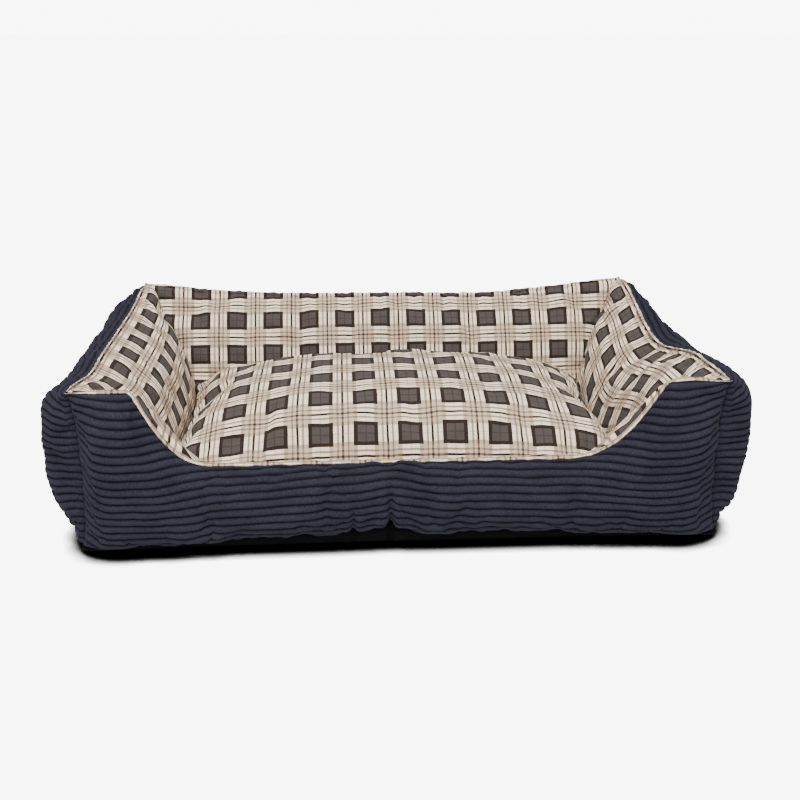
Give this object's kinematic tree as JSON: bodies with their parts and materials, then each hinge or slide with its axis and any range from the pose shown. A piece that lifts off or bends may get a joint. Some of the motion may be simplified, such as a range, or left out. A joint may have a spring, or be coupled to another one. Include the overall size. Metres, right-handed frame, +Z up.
{
  "type": "pet cushion bed",
  "caption": "Rectangular pet bed with stuffed corduroy walls cut low at the front, a checked lining and a loose checked cushion that lifts out.",
  "frame": {"origin": "on the floor, under the middle of the bed", "axes": "+Z up, +X along the width from left to right as seen from the entrance, +Y from the low entrance to the back wall"},
  "size_m": [0.762, 0.508, 0.1768],
  "materials": {
    "navy_corduroy": "matt jumbo-cord corduroy, soft cut pile in wide ribs",
    "checked_cotton": "matt woven cotton check in cream, grey brown and dark brown",
    "hollow_fibre": "loose white polyester fibre",
    "anti_slip_cloth": "black woven cloth with rubbery dots",
    "floor_cloth": "plain dark polycotton"
  },
  "bodies": {
    "bed": {"front_outer_panel": "navy_corduroy", "back_outer_panel": "navy_corduroy", "left_outer_panel": "navy_corduroy", "right_outer_panel": "navy_corduroy", "front_lining_panel": "checked_cotton", "back_lining_panel": "checked_cotton", "left_lining_panel": "checked_cotton", "right_lining_panel": "checked_cotton", "front_bolster_filling": "hollow_fibre", "back_bolster_filling": "hollow_fibre", "left_bolster_filling": "hollow_fibre", "right_bolster_filling": "hollow_fibre", "base_anti_slip_panel": "anti_slip_cloth", "base_wadding": "hollow_fibre", "base_floor_cloth": "floor_cloth"},
    "cushion": {"cushion_top_cover": "checked_cotton", "cushion_bottom_cover": "checked_cotton", "cushion_filling": "hollow_fibre"}
  },
  "joints": [
    {"name": "cushion_lift", "type": "slide", "parent": "bed", "child": "cushion", "axis": [0, 0, 1], "range_m": [0, 0.25]}
  ]
}
